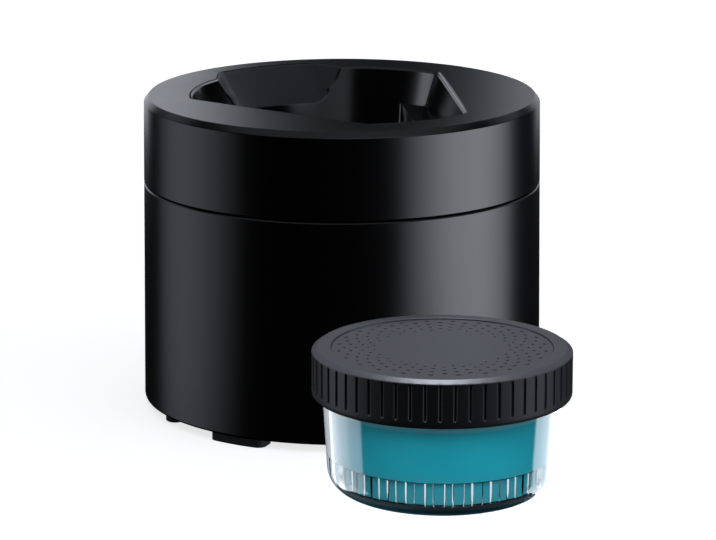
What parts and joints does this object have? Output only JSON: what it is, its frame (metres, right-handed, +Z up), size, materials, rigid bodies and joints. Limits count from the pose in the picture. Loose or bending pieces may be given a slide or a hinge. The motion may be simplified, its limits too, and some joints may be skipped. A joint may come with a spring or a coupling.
{
  "type": "shaver cleaning station",
  "caption": "Round cordless washing pod for a rotary shaver, with a twist-off top, a pump and a screw-top cartridge of cleaning fluid beside it.",
  "frame": {"origin": "on the pod's axis, at the height of the surface that its feet stand on", "axes": "+Z up along the pod's axis, -Y to the pod's front, where the cartridge stands, +X to the right seen from the front"},
  "size_m": [0.1358, 0.2159, 0.1067],
  "materials": {
    "shell_black": "fine satin moulding",
    "cover_black": "fine satin moulding",
    "bowl_black": "polished",
    "inner_grey": "moulded",
    "pump_grey": "moulded",
    "rubber": "matt",
    "seal_rubber": "matt",
    "zinc_steel": "zinc plated",
    "spring_steel": "bright wire",
    "contact_brass": "plated",
    "cell_jacket": "printed sleeve, left plain",
    "board_green": "solder mask",
    "sensor_black": "moulded",
    "clear_cup": "clear, polished",
    "teal_fluid": "liquid",
    "liner_foam": "foam",
    "cap_grey": "fine satin moulding"
  },
  "bodies": {
    "base": {"base_shell": "shell_black", "base_plate": "inner_grey", "cartridge_cradle": "inner_grey", "battery_tray": "inner_grey", "battery_cells": "cell_jacket", "battery_terminals": "contact_brass", "contact_pins": "contact_brass", "base_screws": "zinc_steel", "rubber_feet": "rubber"},
    "battery_door": {"battery_door": "inner_grey", "door_contacts": "contact_brass"},
    "bay_seal": {"bay_seal": "seal_rubber"},
    "top_half": {"top_cover": "cover_black", "wash_bowl": "bowl_black", "lower_deck": "inner_grey", "motor_housing": "pump_grey", "motor_cover": "pump_grey", "pump_motor": "zinc_steel", "shaft_seal": "seal_rubber", "pump_column": "pump_grey", "pump_intake": "pump_grey", "spray_nozzle": "pump_grey", "drain_strainer": "pump_grey", "control_board": "board_green", "sensor_bracket": "pump_grey", "start_sensor": "sensor_black", "contact_pads": "contact_brass", "deck_screws": "zinc_steel"},
    "start_plunger": {"start_plunger": "pump_grey", "plunger_spring": "spring_steel"},
    "pump_rotor": {"pump_shaft": "spring_steel", "impeller": "pump_grey"},
    "cartridge": {"cartridge_cup": "clear_cup", "cleaning_fluid": "teal_fluid"},
    "cap_liner": {"cap_liner": "liner_foam"},
    "cap": {"cartridge_cap": "cap_grey"}
  },
  "joints": [
    {"name": "top_turn", "type": "hinge", "parent": "base", "child": "bay_seal", "pos_m": [0, 0, 0.06], "axis": [0, 0, -1], "range_deg": [0, 24]},
    {"name": "top_lift", "type": "slide", "parent": "bay_seal", "child": "top_half", "axis": [0, 0, 1], "range_m": [0, 0.12]},
    {"name": "start_press", "type": "slide", "parent": "top_half", "child": "start_plunger", "axis": [0, 0, -1], "range_m": [0, 0.0014], "stiffness_N_per_m": 250, "springref_m": -0.002, "deforming": ["plunger_spring"]},
    {"name": "pump_spin", "type": "hinge", "parent": "top_half", "child": "pump_rotor", "pos_m": [0, 0.008, 0.03], "axis": [0, 0, 1], "continuous": true},
    {"name": "battery_door_hinge", "type": "hinge", "parent": "base", "child": "battery_door", "pos_m": [0, 0.046, 0.0038], "axis": [-1, 0, 0], "range_deg": [0, 95]},
    {"name": "cartridge_lift", "type": "slide", "parent": "base", "child": "cartridge", "axis": [0, 0, 1], "range_m": [0, 0.12]},
    {"name": "cap_rise", "type": "slide", "parent": "cartridge", "child": "cap_liner", "axis": [0, 0, 1], "range_m": [0, 0.006]},
    {"name": "cap_turn", "type": "hinge", "parent": "cap_liner", "child": "cap", "pos_m": [-0.025, -0.107, 0.044], "axis": [0, 0, 1], "range_deg": [0, 450]}
  ],
  "couplings": [
    {"joint": "cap_rise", "follows": "cap_turn", "m_per_rad": 0.0007162}
  ]
}
